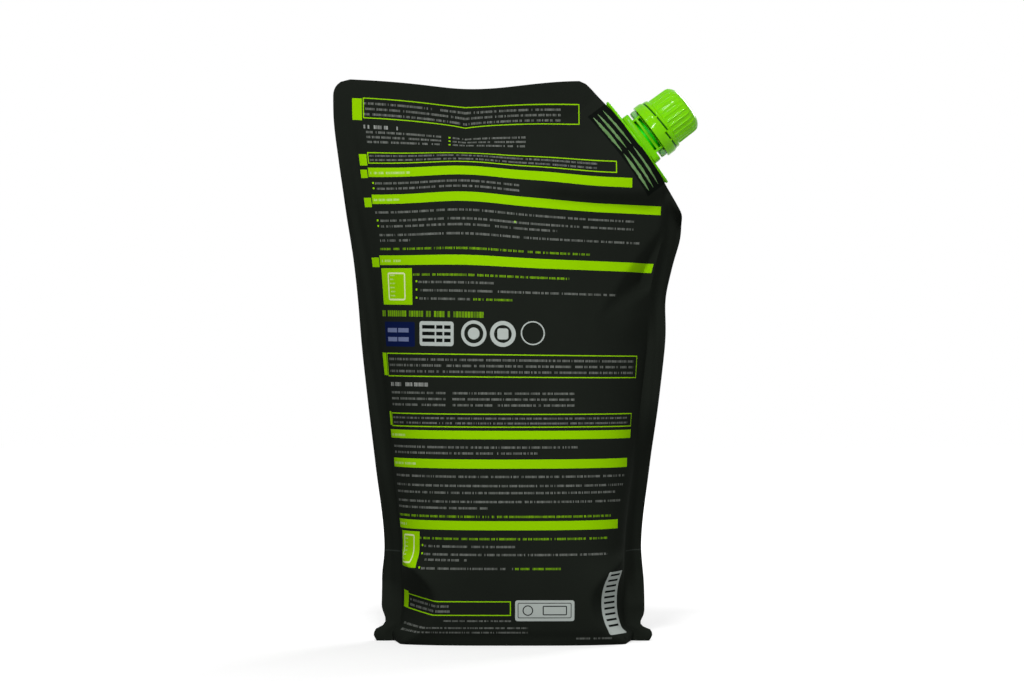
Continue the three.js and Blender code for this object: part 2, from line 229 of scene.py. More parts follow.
def film_place(across, up, layer):
    # Where a point of the flat film lies on the filled pouch. The front panel is layer 0, the back one 1
    hand = np.sign(across)
    row = np.clip(up, 0, film_height - 0.001)
    below = row.astype(int)
    q = row - below
    place = np.minimum(np.abs(across) / panel_half, 1)
    inner = np.minimum((place * arc_steps).astype(int), arc_steps - 1)
    p = place * arc_steps - inner

    def between(table):
        low = table[below, inner] * (1 - p) + table[below, inner + 1] * p
        high = table[below + 1, inner] * (1 - p) + table[below + 1, inner + 1] * p
        return low * (1 - q) + high * q

    full = row_rise[below, -1] * (1 - q) + row_rise[below + 1, -1] * q
    swollen = (np.interp(row, rows, row_depth) - panel_half * full) * (1 - place ** 4)
    turn = between(row_turn)
    relief = np.where(layer < 0.5, panel_relief(across, up, True), panel_relief(across, up, False))

    # The side seals are stiffer beside the gusset, and end in a small foot that sticks out
    seal = np.maximum(np.abs(across) - panel_half, 0) / side_seal
    stiffer = 1.5 * eased(8, 15, up) * (1 - eased(26, 46, up)) - 1.1 * hump(up, 8.5, 2.5)
    foot = 3.9 * (1 - eased(4.8, 7.4, up)) * (0.6 + 0.4 * eased(0, 2.6, up)) * eased(40, 85, np.abs(across))
    run = panel_half * between(row_run)
    x = hand * (run + seal * (side_seal + stiffer) + foot + 0.4 * np.sin(turn) * relief)
    x = x - 1.7 * eased(212, 258, up) * (1 - eased(-85, -35, across))
    x = x + 1.4 * (hump(up, 197, 10) - hump(up, 167, 12)) * eased(55, 85, across)
    depth = np.maximum(panel_half * (full - between(row_rise)) + swollen + np.cos(turn) * relief, 0)

    # The upper part leans, the top is cut a little higher beside the spout, and one facet is drawn up
    lean = math.tan(math.radians(lean_degrees)) * x * eased(0.35 * film_height, 0.75 * film_height, up)
    lift = 2.8 * eased(-12, 36, across) * eased(258.5, 267, up)
    past_fold = np.maximum(run - np.interp(row, rows, row_fold), 0) * (across < 0)
    drawn_up = 0.17 * past_fold * eased(3, 12, up) * np.interp(row, rows, row_folded)
    z = up + film_creep(across, up) - lean + lift + drawn_up

    # Film stretched over the spout's welding boat and its three ribs
    along = (x - corner_middle.x) * cut_way.x + (z - corner_middle.z) * cut_way.z
    inward = -(x - corner_middle.x) * spout_way.x - (z - corner_middle.z) * spout_way.z
    swell = boat_swell * (1 - eased(12, 56, inward))
    for rib in weld_ribs:
        from_edge = inward + edge_bow * (1 - (along / weld_half) ** 2)
        swell = swell + rib_swell * hump(from_edge, rib, rib_spread)
    swell = swell * np.maximum(0, 1 - (along / boat_half) ** 2)
    half = (depth ** 4 + swell ** 4) ** 0.25 + film_half_thickness
    half = half + 0.3 * (1 - eased(gusset_height - 2, gusset_height + 1, up)) * eased(0, 0.3, seal)
    rounded = np.sqrt(np.clip(1 - ((up - 3.2) / 3.6) ** 2, 0, 1)) * np.sqrt(1 - 0.9 * seal ** 6)
    half = half + 1.2 * eased(0, 0.5, seal) * rounded
    y = (2 * layer - 1) * half + film_wave(across, up) * (1 - eased(6, 2, inward))

    # The gusset hangs between the two skirts and is creased along its fold
    from_skirt = (1 - np.abs(2 * layer - 1)) * half
    hang = np.minimum(3.4, 0.3 * half) * eased(0.1, 0.9, from_skirt)
    hang = hang * (1 - 0.75 * eased(4, 26, from_skirt))
    fold = 0.5 * np.exp(-np.abs(y) / 1.2) * eased(2, 10, from_skirt)
    z = np.where((layer > 0) & (layer < 1) & (up < 0.01), hang + fold, z)
    return x, y, z


# Ends of each row: a rounded corner on one side, the cut for the spout on the other
past_corner = np.maximum(rows - film_height + top_corner_radius, 0)
row_left = -film_width / 2 + top_corner_radius - np.sqrt(top_corner_radius ** 2 - past_corner ** 2)


def past_cut(across):
    x, y, z = film_place(across, rows.astype(float), np.zeros(len(rows)))
    out = (x - corner_middle.x) * spout_way.x + (z - corner_middle.z) * spout_way.z
    along = (x - corner_middle.x) * cut_way.x + (z - corner_middle.z) * cut_way.z
    return out > edge_bow * (1 - (along / weld_half) ** 2)


row_right = np.full(len(rows), film_width / 2)
row_cut = past_cut(row_right)
row_inside = np.zeros(len(rows))
for _ in range(40):
    middle = (row_inside + row_right) / 2
    over = past_cut(middle)
    row_right = np.where(row_cut & over, middle, row_right)
    row_inside = np.where(row_cut & ~over, middle, row_inside)
row_right = np.convolve(np.pad(row_right, 2, mode="edge"), np.ones(5) / 5, mode="valid")
past_corner = np.maximum(rows - film_height + cut_corner_radius, 0)
row_right = row_right - cut_corner_radius + np.sqrt(cut_corner_radius ** 2 - past_corner ** 2)

# Film laid flat: across, up, layer
film_columns = 136
film_levels = 200
gusset_cuts = 40
weld_cuts = 2
film = bmesh.new()
bmesh.ops.create_grid(film, x_segments=film_columns, y_segments=film_levels, size=0.5)
for vert in film.verts:
    up = (vert.co.y + 0.5) * film_height
    left = np.interp(up, rows, row_left)
    right = np.interp(up, rows, row_right)
    vert.co = (left + (vert.co.x + 0.5) * (right - left), up, 0)
extruded = bmesh.ops.extrude_face_region(film, geom=film.faces[:], use_keep_orig=True)["geom"]
back_verts = [g for g in extruded if isinstance(g, bmesh.types.BMVert)]
bmesh.ops.translate(film, vec=(0, 0, 1), verts=back_verts)


def through_film(edge):
    return abs(edge.verts[0].co.z - edge.verts[1].co.z) > 0.5


skirt_edges = [e for e in film.edges if through_film(e) and max(v.co.y for v in e.verts) < 0.01]
bmesh.ops.subdivide_edges(film, edges=skirt_edges, cuts=gusset_cuts, use_grid_fill=True)


def near_weld(face):
    centre = face.calc_center_median()
    if 0.01 < centre.z < 0.99 or centre.y < 190 or centre.x < 15:
        return False
    x, y, z = film_place(*(np.array([c]) for c in centre))
    place = Vector((x[0], 0, z[0])) - corner_middle
    return -place.dot(spout_way) < 13 and abs(place.dot(cut_way)) < 30


weld_edges = {e for f in film.faces if near_weld(f) for e in f.edges if not through_film(e)}
bmesh.ops.subdivide_edges(film, edges=list(weld_edges), cuts=weld_cuts, use_grid_fill=True)

# Map of the flat film: front panel, back panel, gusset and edges side by side. The front panel's print
# is shared out over strips, each with its own finish
strip_tops = (62, 112, 160, 215, film_height)
map_width = 600
map_height = 300
edge_map_height = 400
front_middle = 100
back_middle = 300
edge_middle = 500
map_low = 10
layer_gap = 70
film_map = film.loops.layers.uv.new("flat_film")
for face in film.faces:
    centre = face.calc_center_median()
    if centre.z < 0.01:
        face.material_index = 1 + int(np.searchsorted(strip_tops, centre.y))
    for loop in face.loops:
        across, up, through = loop.vert.co
        if centre.z < 0.01:
            loop[film_map].uv = ((front_middle + across) / map_width, (up + map_low) / map_height)
        elif centre.z > 0.99:
            loop[film_map].uv = ((back_middle - across) / map_width, (up + map_low) / map_height)
        else:
            risen = through * layer_gap + up + map_low
            loop[film_map].uv = ((edge_middle + across) / map_width, risen / edge_map_height)

# The flat film takes its filled form
flat = np.array([v.co for v in film.verts])
for vert, place in zip(film.verts, np.transpose(film_place(*flat.T))):
    vert.co = place * MM
bmesh.ops.recalc_face_normals(film, faces=film.faces)
if film.calc_volume(signed=True) < 0:
    bmesh.ops.reverse_faces(film, faces=film.faces)
for face in film.faces:
    face.smooth = True
for edge in film.edges:
    if edge.is_manifold and edge.calc_face_angle() > 0.9:
        edge.smooth = False


def linear(red, green, blue):
    # A colour written from 0 to 255 as the shader wants it
    def one(value):
        value = value / 255
        return value / 12.92 if value <= 0.04045 else ((value + 0.055) / 1.055) ** 2.4
    return (one(red), one(green), one(blue), 1)


def place_node(tree, kind, inputs=(), **settings):
    node = tree.nodes.new(kind)
    for name, value in settings.items():
        setattr(node, name, value)
    for socket, value in zip(node.inputs, inputs):
        if isinstance(value, bpy.types.NodeSocket):
            tree.links.new(value, socket)
        elif value is not None:
            socket.default_value = value
    return node


def sums(tree, operation, *inputs):
    return place_node(tree, "ShaderNodeMath", inputs, operation=operation).outputs[0]


def vectors(tree, operation, *inputs):
    node = place_node(tree, "ShaderNodeVectorMath", inputs, operation=operation)
    return node.outputs["Value" if operation in ("LENGTH", "DOT_PRODUCT") else "Vector"]


def across_and_up(tree, place):
    return vectors(tree, "DOT_PRODUCT", place, (1, 0, 0)), vectors(tree, "DOT_PRODUCT", place, (0, 1, 0))


def noise(tree, place, scale, detail, rough):
    return place_node(tree, "ShaderNodeTexNoise", (place, None, scale, detail, rough)).outputs[0]


def mixed(tree, share, first, second):
    node = place_node(tree, "ShaderNodeMix", data_type="RGBA")
    for name, value in (("Factor_Float", share), ("A_Color", first), ("B_Color", second)):
        socket = next(s for s in node.inputs if s.identifier == name)
        if isinstance(value, bpy.types.NodeSocket):
            tree.links.new(value, socket)
        else:
            socket.default_value = value
    return next(s for s in node.outputs if s.identifier == "Result_Color")


def bumped(tree, shader, height, strength, distance):
    bump = place_node(tree, "ShaderNodeBump")
    bump.inputs["Strength"].default_value = strength
    bump.inputs["Distance"].default_value = distance
    tree.links.new(height, bump.inputs["Height"])
    tree.links.new(bump.outputs[0], shader.inputs["Normal"])


def new_finish(name):
    finish = bpy.data.materials.new(name)
    finish.use_nodes = True
    tree = finish.node_tree
    return finish, tree, tree.nodes["Principled BSDF"]


VECTOR = "NodeSocketVector"
NUMBER = "NodeSocketFloat"


def new_print(name, inputs):
    # A kind of printed field. It is worked out after the field before it, and adds itself to that
    group = bpy.data.node_groups.new(name, "ShaderNodeTree")
    for label, kind in [("Place", VECTOR), ("Before", NUMBER)] + inputs:
        group.interface.new_socket(label, in_out="INPUT", socket_type=kind)
    group.interface.new_socket("Ink", in_out="OUTPUT", socket_type=NUMBER)
    given = group.nodes.new("NodeGroupInput").outputs
    tiny = (1e-9, 1e-9, 1e-9)
    return group, given, vectors(group, "MULTIPLY_ADD", given["Before"], tiny, given["Place"])


def print_over(group, given, mask):
    ink = sums(group, "MAXIMUM", given["Before"], mask)
    group.links.new(ink, group.nodes.new("NodeGroupOutput").inputs["Ink"])


# A printed field: a rectangle between two corners, solid or as an outline
plain_sizes = [("Low", VECTOR), ("High", VECTOR), ("Line", NUMBER)]
plain_group, given, place = new_print("printed_field", plain_sizes)
from_low = vectors(plain_group, "SUBTRACT", place, given["Low"])
nearest = vectors(plain_group, "MINIMUM", from_low, vectors(plain_group, "SUBTRACT", given["High"], place))
inside = sums(plain_group, "MINIMUM", *across_and_up(plain_group, nearest))
rim = sums(plain_group, "LESS_THAN", inside, given["Line"])
within = sums(plain_group, "GREATER_THAN", inside, 0)
print_over(plain_group, given, sums(plain_group, "MULTIPLY", within, rim))

# A printed field with round corners, solid or as an outline
round_sizes = [("Middle", VECTOR), ("Half", VECTOR), ("Radius", NUMBER), ("Line", NUMBER)]
round_group, given, place = new_print("round_field", round_sizes)
off = vectors(round_group, "ABSOLUTE", vectors(round_group, "SUBTRACT", place, given["Middle"]))
off = vectors(round_group, "SUBTRACT", off, given["Half"])
outer = vectors(round_group, "LENGTH", vectors(round_group, "MAXIMUM", off, (0, 0, 0)))
inner = sums(round_group, "MINIMUM", sums(round_group, "MAXIMUM", *across_and_up(round_group, off)), 0)
away = sums(round_group, "SUBTRACT", sums(round_group, "ADD", outer, inner), given["Radius"])
rim = sums(round_group, "GREATER_THAN", sums(round_group, "ADD", away, given["Line"]), 0)
within = sums(round_group, "LESS_THAN", away, 0)
print_over(round_group, given, sums(round_group, "MULTIPLY", within, rim))

# Rows of plain uneven dashes
dash_share = 0.82
gap_chance = 0.2
faintest_dash = 0.25
dash_range = 0.4
dash_sizes = [("Low", VECTOR), ("High", VECTOR), ("Pitch", NUMBER), ("Height", NUMBER)]
dash_group, given, place = new_print("printed_dashes", dash_sizes)
from_low = vectors(dash_group, "SUBTRACT", place, given["Low"])
nearest = vectors(dash_group, "MINIMUM", from_low, vectors(dash_group, "SUBTRACT", given["High"], place))
inside = sums(dash_group, "MINIMUM", *across_and_up(dash_group, nearest))
inside = sums(dash_group, "GREATER_THAN", inside, 0)
right, risen = across_and_up(dash_group, from_low)
line = sums(dash_group, "DIVIDE", risen, given["Pitch"])
line_share = sums(dash_group, "DIVIDE", given["Height"], given["Pitch"])
on_line = sums(dash_group, "LESS_THAN", sums(dash_group, "FRACT", line), line_share)
cell_width = sums(dash_group, "MULTIPLY_ADD", given["Height"], 0.45, 0.15)
cell_place = sums(dash_group, "DIVIDE", right, cell_width)
cell = sums(dash_group, "FLOOR", cell_place)
on_block = sums(dash_group, "LESS_THAN", sums(dash_group, "FRACT", cell_place), dash_share)
on_line = sums(dash_group, "MULTIPLY", on_line, on_block)
lowest = across_and_up(dash_group, given["Low"])[1]
line_number = sums(dash_group, "ADD", sums(dash_group, "FLOOR", line), lowest)
spot = place_node(dash_group, "ShaderNodeCombineXYZ", (cell, line_number)).outputs[0]
chance = place_node(dash_group, "ShaderNodeTexWhiteNoise", (spot,), noise_dimensions="2D").outputs["Value"]
filled = sums(dash_group, "GREATER_THAN", chance, gap_chance)
second_chance = sums(dash_group, "FRACT", sums(dash_group, "MULTIPLY", chance, 37))
uneven = sums(dash_group, "MULTIPLY_ADD", second_chance, dash_range, faintest_dash)
on_dash = sums(dash_group, "MULTIPLY", inside, on_line)
on_dash = sums(dash_group, "MULTIPLY", on_dash, sums(dash_group, "MULTIPLY", filled, uneven))
print_over(dash_group, given, on_dash)


def solid_field(left, right, low, high, line=1000):
    return low, high, plain_group, (left, low, -1), (right, high, 1), line


def round_field(left, right, low, high, radius, line=1000):
    middle = ((left + right) / 2, (low + high) / 2, 0)
    half = ((right - left) / 2 - radius, (high - low) / 2 - radius, 0)
    return low, high, round_group, middle, half, radius, line


def dashed_rows(left, right, low, count=1, pitch=4, height=1.05):
    high = low + (count - 1) * pitch + height
    return low, high, dash_group, (left, low, -1), (right, high, 1), pitch, height


# Layout of the print on the flat front panel: left, right, low, high
bars = (
    (-71, 57, 221, 225.5), (-70.5, 74, 208, 212.5), (-70, 75.5, 179, 183.5),
    (-72, 65.5, 98, 102), (-70, 63, 84.2, 88.5), (-69, 55.5, 55.2, 59.5),
)
tabs = (
    (-76, -71.5, 248.5, 259), (-74.8, -71, 226.5, 232), (-75, -71.5, 220.5, 224.5), (-75, -71, 206.5, 211),
    (-75.5, -70.5, 178, 182.5), (-73.5, -70, 127.5, 138), (-71.5, -69.5, 104, 110.5), (-71, -64, 14.5, 22.5),
)
frames = (
    (-71, 32, 249.5, 259.5), (-70.5, 49.5, 227.5, 233), (-69.5, 67.5, 127, 138), (-69, 65.5, 103.5, 110),
    (-64, -1, 14.5, 21.5),
)
squares = ((-69.5, -50.5, 160.5, 177.5), (-63, -47, 37, 54))
bullets = (
    (-69.5, 217.7), (-69.5, 215.1), (-69, 199.7), (-69, 197), (0.5, 199.7), (-48.5, 171), (-48.5, 167.2),
    (-48.5, 163.4), (-45.5, 47.2), (-45.5, 43.3), (-45.5, 36.8), (-31, 242.4), (-31, 240.1), (-31, 237.7),
)

# Rows of dashes: left, right, low, then how many, their pitch and their height where they differ
lime_rows = (
    (-69, 38, 186), (-50, 27, 174), (-19.5, 0.5, 163), (-66, 50, 61), (-47, 47.5, 50.5), (1, 22.5, 36.4),
    (-71, -14, 155, 1, 4, 2.8),
)
heading_rows = ((-71, -55, 244.5, 1, 4, 1.8), (-67.5, -42, 122.5, 1, 4, 1.8))
grey_rows = (
    (-70.5, 23, 251, 3, 2.6, 1.1), (-70, -34.5, 237.5, 3, 2.4, 1.1), (-29, 6, 237.5, 3, 2.4, 1.1),
    (-69.5, 40, 228.8, 2, 2, 0.9), (-68, 3, 214.8, 2, 2.6), (-69.5, 60, 203.4), (-67, 60, 199.4),
    (-67, 21, 196.7), (-69, 63.5, 192.6), (-69, -51, 190), (-47, -9, 170.6), (-47, 52, 166.8),
    (-47, -20.5, 163),
    (-67.5, 64.5, 129, 3, 2.8, 1.1), (-67.5, -32.5, 113.4, 3, 2.8), (-29, 29.5, 113.4, 3, 2.8),
    (-67.5, 62, 105, 2, 2.3, 0.9), (-68.5, 31, 93.6), (-68.5, 11.5, 90.8), (-67, 61, 79.8), (-67, 60, 75.5),
    (-67, 53, 72.2), (-66, 58, 68), (-66, -12, 65), (-44, 1, 46.8), (-44, 47, 43), (-43, -22, 40.4),
    (-44, 0, 36.4),
    (-62, -30, 16, 2, 2.4, 1.1), (-33, 0, 11.6, 1, 4, 0.8), (-65, 7, 6, 2, 2.2, 0.8), (30, 47, 3, 1, 4, 0.9),
)
cream_rows = (
    (-70, -50, 222.4), (-69.5, -56, 209.4), (-68.5, -57, 180.4),
    (-70, -57, 99), (-68, -49, 85.6), (-67, -57, 56.8),
)
frame_line = 0.48
lime_print = [solid_field(*place) for place in bars + tabs + squares]
lime_print += [solid_field(*place, line=frame_line) for place in frames]
lime_print += [solid_field(left, left + 0.9, low, low + 0.9) for left, low in bullets]
lime_print += [dashed_rows(*place) for place in lime_rows]
cream_print = [dashed_rows(*place) for place in cream_rows]
# A plain rounded outline with a row of marks, on both lime squares
cream_print += [round_field(-65.5, -54.5, 162.5, 175.5, 1.2, 0.75), dashed_rows(-64, -61, 164.4, 6, 1.9, 0.6)]
cream_print += [round_field(-60, -50.5, 39, 52.5, 1.2, 0.75), dashed_rows(-59, -56, 40.6, 6, 1.9, 0.6)]
white_print = [
    round_field(-46.5, -28.5, 141.5, 153, 1.4), round_field(-24.8, -12.6, 141.5, 153.7, 6.1, 1.5),
    round_field(-21.5, -15.9, 144.8, 150.4, 2.8), round_field(-10.9, 1.3, 141.5, 153.7, 6.1, 1.9),
    round_field(-7.4, -2.2, 145, 150.2, 1.2), round_field(3.7, 15.1, 142.5, 153.9, 5.7, 0.6),
    round_field(1, 29, 12, 22, 1.2), round_field(46, 63, 5, 35, 1),
]
# Plain marks on the white fields
dark_print = [
    round_field(2.2, 27.6, 13.4, 20.8, 0.8, 0.35),
    round_field(4.5, 9.5, 14.6, 19.6, 2.5, 0.5), round_field(14, 25.5, 14.8, 19.4, 0.6, 0.5),
]
dark_print += [solid_field(48.5, 60, low, low + 1) for low in np.arange(8.5, 33, 2.7)]
label_bars = ((-45, -38.2), (-37.4, -34.1), (-33.3, -30))
dark_print += [solid_field(*bar, low, low + 1.7) for bar in label_bars for low in (143.3, 146.4, 149.5)]
blue_marks = ((-67.4, -60.6), (-59.8, -53))
blue_bars = [solid_field(*mark, low, low + 2) for mark in blue_marks for low in (143.4, 147.6)]
inks = (
    (linear(148, 209, 0), lime_print),
    (linear(142, 146, 140), [dashed_rows(*place) for place in grey_rows]),
    (linear(196, 200, 194), [dashed_rows(*place) for place in heading_rows]),
    (linear(226, 236, 176), cream_print),
    (linear(184, 192, 187), white_print),
    (linear(14, 18, 16), dark_print),
    (linear(15, 26, 68), [round_field(-69.4, -49.3, 141, 152.5, 0.6)]),
    (linear(112, 122, 158), blue_bars),
    # The gusset's upper edge is pressed across both side seals; a lighter line is painted there as the
    # highlight on that pressed step
    (linear(50, 55, 51), [solid_field(side, side + 8, 42.8, 43.3) for side in (-85, 77)]),
)


def welded(tree, here):
    # Where the film is stretched over the ribs, pale lenses are painted in long narrow pairs: partly the
    # green rib showing through the thin film, partly a painted highlight on the ribs' flanks
    from_corner = vectors(tree, "SUBTRACT", here, tuple(corner_middle * MM))
    along = sums(tree, "ABSOLUTE", vectors(tree, "DOT_PRODUCT", from_corner, tuple(cut_way / MM)))
    inward = vectors(tree, "DOT_PRODUCT", from_corner, tuple(-spout_way / MM))
    bow = sums(tree, "MULTIPLY", sums(tree, "MULTIPLY", along, along), -edge_bow / weld_half ** 2)
    inward = sums(tree, "ADD", sums(tree, "ADD", inward, edge_bow), bow)
    lens_turn = math.pi / (weld_half - 2.5)
    lens = sums(tree, "MULTIPLY_ADD", along, lens_turn, -0.7 * lens_turn)
    lens = sums(tree, "SINE", sums(tree, "MINIMUM", sums(tree, "MAXIMUM", lens, 0), math.pi))
    rough_edge = sums(tree, "MULTIPLY_ADD", noise(tree, here, 420, 2, 0.5), 0.9, 0.35)
    lens = sums(tree, "MULTIPLY", sums(tree, "POWER", lens, 0.7), rough_edge)
    pale = 0
    for rib, width in zip(weld_ribs, (0.65, 0.75, 0.9)):
        beside = sums(tree, "ABSOLUTE", sums(tree, "SUBTRACT", inward, rib))
        on_rib = sums(tree, "LESS_THAN", beside, sums(tree, "MULTIPLY", lens, width))
        pale = sums(tree, "MAXIMUM", pale, on_rib)
    zone = sums(tree, "LESS_THAN", inward, weld_depth)
    zone = sums(tree, "MULTIPLY", zone, sums(tree, "LESS_THAN", along, weld_half))
    return pale, zone


def film_finish(name, low, high, at_weld):
    # Matt laminate with the print that lies between two heights of the panel
    finish, tree, shader = new_finish(name)
    flat_map = place_node(tree, "ShaderNodeUVMap", uv_map="flat_film").outputs[0]
    on_film = vectors(tree, "MULTIPLY_ADD", flat_map, (600, 300, 0), (-100, -10, 0))
    here = place_node(tree, "ShaderNodeTexCoord").outputs["Object"]
    colour = mixed(tree, noise(tree, here, 22, 3, 0.55), linear(28, 31, 27), linear(33, 37, 32))
    for ink, fields in inks:
        printed = None
        for field_low, field_high, group, *sizes in fields:
            if field_high < low - 2 or field_low > high + 2:
                continue
            node = place_node(tree, "ShaderNodeGroup", [], node_tree=group)
            for socket, value in zip(node.inputs, [on_film, printed] + sizes):
                if isinstance(value, bpy.types.NodeSocket):
                    tree.links.new(value, socket)
                elif value is not None:
                    socket.default_value = value
            printed = node.outputs["Ink"]
        if printed:
            colour = mixed(tree, printed, colour, ink)
    fine = noise(tree, here, 900, 2, 0.6)
    gloss = sums(tree, "MULTIPLY_ADD", fine, 0.1, 0.7)
    if at_weld:
        pale, zone = welded(tree, here)
        colour = mixed(tree, sums(tree, "MULTIPLY", zone, 0.7), colour, linear(7, 11, 9))
        # Painted lens colour: partly the rib's green through the thin film, partly a painted highlight on the
        # ribs' flanks
        rib_green_and_highlight = mixed(tree, noise(tree, here, 160, 2, 0.5), linear(70, 122, 44), linear(136, 166, 124))
        colour = mixed(tree, sums(tree, "MULTIPLY", pale, zone), colour, rib_green_and_highlight)
        gloss = sums(tree, "MULTIPLY_ADD", zone, -0.25, gloss)
    tree.links.new(colour, shader.inputs["Base Color"])
    tree.links.new(gloss, shader.inputs["Roughness"])
    shader.inputs["Specular IOR Level"].default_value = 0.003
    rise = sums(tree, "MULTIPLY_ADD", fine, 0.05, noise(tree, here, 60, 3, 0.5))
    bumped(tree, shader, rise, 0.22, 0.0012)
    return finish


def finished(name, shape, finishes, body):
    mesh = bpy.data.meshes.new(name)
    shape.to_mesh(mesh)
    shape.free()
    made = bpy.data.objects.new(name, mesh)
    bpy.context.scene.collection.objects.link(made)
    for finish in finishes:
        mesh.materials.append(finish)
    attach(made, body)
    return made


film_finishes = [film_finish("film_plain", -20, -20, True)]
for low, high in zip((0,) + strip_tops, strip_tops):
    film_finishes.append(film_finish(f"film_print_to_{high}", low, high, high > 190))
pouch_film = finished("pouch_film", film, film_finishes, "pouch")
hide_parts("pouch_body")

# Spout
# One moulding of lime polyethylene: a ribbed boat that the film is welded to, two flanges, a slotted
# guide with two wings for the filling machine's rail, and a threaded neck with a bead for the band.
bore_radius = 7.4
neck_radius = 8.9
neck_top = 28.2
thread_pitch = 4
spout_turn = Vector((0, 0, 1)).rotation_difference(spout_way).to_matrix().to_4x4()
into_corner = Matrix.Scale(MM, 4) @ (Matrix.Translation(corner_middle) @ spout_turn)


def outline_slab(shape, low, high, soften):
    # Thickens the one flat face of a shape and softens its rims
    face = next(iter(shape.faces))
    bmesh.ops.translate(shape, vec=(0, 0, low), verts=shape.verts)
    top = bmesh.ops.extrude_face_region(shape, geom=[face])["geom"]
    top_verts = [g for g in top if isinstance(g, bmesh.types.BMVert)]
    bmesh.ops.translate(shape, vec=(0, 0, high - low), verts=top_verts)
    bmesh.ops.recalc_face_normals(shape, faces=shape.faces)
    rims = [e for e in shape.edges if abs(e.verts[0].co.z - e.verts[1].co.z) < 1e-6]
    bmesh.ops.bevel(shape, geom=rims, offset=soften, segments=3, profile=0.5, affect="EDGES", material=-1)
    return shape


def canoe_slab(length, depth, tip, low, high, soften):
    shape = bmesh.new()
    bmesh.ops.create_circle(shape, cap_ends=True, radius=1, segments=96)
    for vert in shape.verts:
        half = tip / 2 + (depth - tip) / 2 * (1 - vert.co.x ** 2)
        blunt = min(1, 3 * abs(vert.co.y))
        beside = math.copysign(half * blunt, vert.co.y) if abs(vert.co.y) > 1e-5 else 0
        vert.co = (vert.co.x * length / 2, beside, 0)
    return outline_slab(shape, low, high, soften)


def plate_slab(length, depth, corner, low, high, soften):
    shape = bmesh.new()
    bmesh.ops.create_grid(shape, x_segments=1, y_segments=1, size=0.5)
    bmesh.ops.scale(shape, vec=(length, depth, 1), verts=shape.verts)
    bmesh.ops.bevel(
        shape, geom=shape.verts[:], offset=corner, segments=6, profile=0.5, affect="VERTICES", material=-1)
    return outline_slab(shape, low, high, soften)


def turned(profile, segments, closed=True):
    shape = bmesh.new()
    verts = [shape.verts.new((radius, 0, height)) for radius, height in profile]
    pairs = list(zip(verts, verts[1:])) + ([(verts[-1], verts[0])] if closed else [])
    edges = [shape.edges.new(pair) for pair in pairs]
    bmesh.ops.spin(
        shape, geom=verts + edges, cent=(0, 0, 0), axis=(0, 0, 1),
        angle=2 * math.pi, steps=segments, use_merge=True)
    bmesh.ops.remove_doubles(shape, verts=shape.verts, dist=1e-4)
    bmesh.ops.recalc_face_normals(shape, faces=shape.faces)
    return shape


def thread(root, crest, low, turns):
    # A ridge of thread as a short section swept round and up
    shape = bmesh.new()
    section = ((root, -0.9), (crest, -0.35), (crest, 0.35), (root, 0.9))
    face = shape.faces.new([shape.verts.new((radius, 0, low + height)) for radius, height in section])
    turn_steps = 48
    steps = int(turn_steps * turns)
    bmesh.ops.spin(
        shape, geom=[face] + list(face.edges) + list(face.verts), cent=(0, 0, 0), axis=(0, 0, 1),
        dvec=(0, 0, thread_pitch / turn_steps), angle=2 * math.pi * steps / turn_steps, steps=steps)
    bmesh.ops.recalc_face_normals(shape, faces=shape.faces)
    return shape


def fused(shapes, bored=None):
    # Closed shapes that overlap become one skin, with a bore through it
    lumps = []
    for shape in shapes + ([bored] if bored else []):
        mesh = bpy.data.meshes.new("lump")
        shape.to_mesh(mesh)
        shape.free()
        lumps.append(bpy.data.objects.new("lump", mesh))
        bpy.context.scene.collection.objects.link(lumps[-1])
    for lump in lumps[1:]:
        step = lumps[0].modifiers.new("step", "BOOLEAN")
        step.object = lump
        step.solver = "MANIFOLD"
        step.operation = "DIFFERENCE" if bored and lump is lumps[-1] else "UNION"
    whole = bmesh.new()
    whole.from_object(lumps[0], bpy.context.evaluated_depsgraph_get())
    for lump in lumps:
        bpy.data.meshes.remove(lump.data)
    bmesh.ops.remove_doubles(whole, verts=whole.verts, dist=0.001)
    bmesh.ops.dissolve_degenerate(whole, edges=whole.edges, dist=0.001)
    return whole


def seated(shape):
    bmesh.ops.transform(shape, matrix=into_corner, verts=shape.verts)
    for face in shape.faces:
        face.smooth = True
    for edge in shape.edges:
        if edge.is_manifold and edge.calc_face_angle() > 0.6:
            edge.smooth = False
    return shape


posts = []
wings = []
for side in (-1, 1):
    post = plate_slab(1.2, 18.9, 0.3, 5.0, 9.1, 0.2)
    bmesh.ops.translate(post, vec=(side * 9, 0, 0), verts=post.verts)
    posts.append(post)
    wing = plate_slab(3.9, 12, 1.2, 6.8, 9.15, 0.35)
    bmesh.ops.translate(wing, vec=(side * 11.05, 0, 0), verts=wing.verts)
    for face in wing.faces:
        face.material_index = 1
    wings.append(wing)
ribs = [canoe_slab(46.8, 18.8, 2.4, low - 0.6, low + 0.6, 0.2) for low in (-2.4, -5.6, -8.8)]
neck = turned([
    (0, -10.5), (neck_radius, -10.5), (neck_radius, 12), (11.4, 12), (11.6, 12.2), (11.6, 12.5), (9.3, 13.4),
    (neck_radius, 13.6), (neck_radius, neck_top - 0.5), (neck_radius - 0.4, neck_top), (0, neck_top),
], 96, closed=False)
# Painted shade and painted light through the moulding make the neck a deeper green down in the guide
for face in neck.faces:
    if face.calc_center_median().z < 10:
        face.material_index = 2
spout_shape = fused([
    canoe_slab(47, 17.6, 1.4, -11, 0.7, 0.3), *ribs,
    canoe_slab(48.4, 21, 3, 0.6, 1.9, 0.35),
    plate_slab(26.8, 19, 2.5, 1.8, 5.2, 0.5),
    plate_slab(19.3, 19, 0.8, 6.3, 7.6, 0.2),
    plate_slab(19.3, 19, 0.8, 8.9, 9.2, 0.1),
    *posts, *wings, neck, thread(neck_radius - 0.2, 9.9, 19, 1.6),
], turned([
    (0, -12), (bore_radius, -12), (bore_radius, neck_top - 0.3), (bore_radius + 0.3, neck_top),
    (bore_radius + 0.3, neck_top + 1), (0, neck_top + 1),
], 96, closed=False))


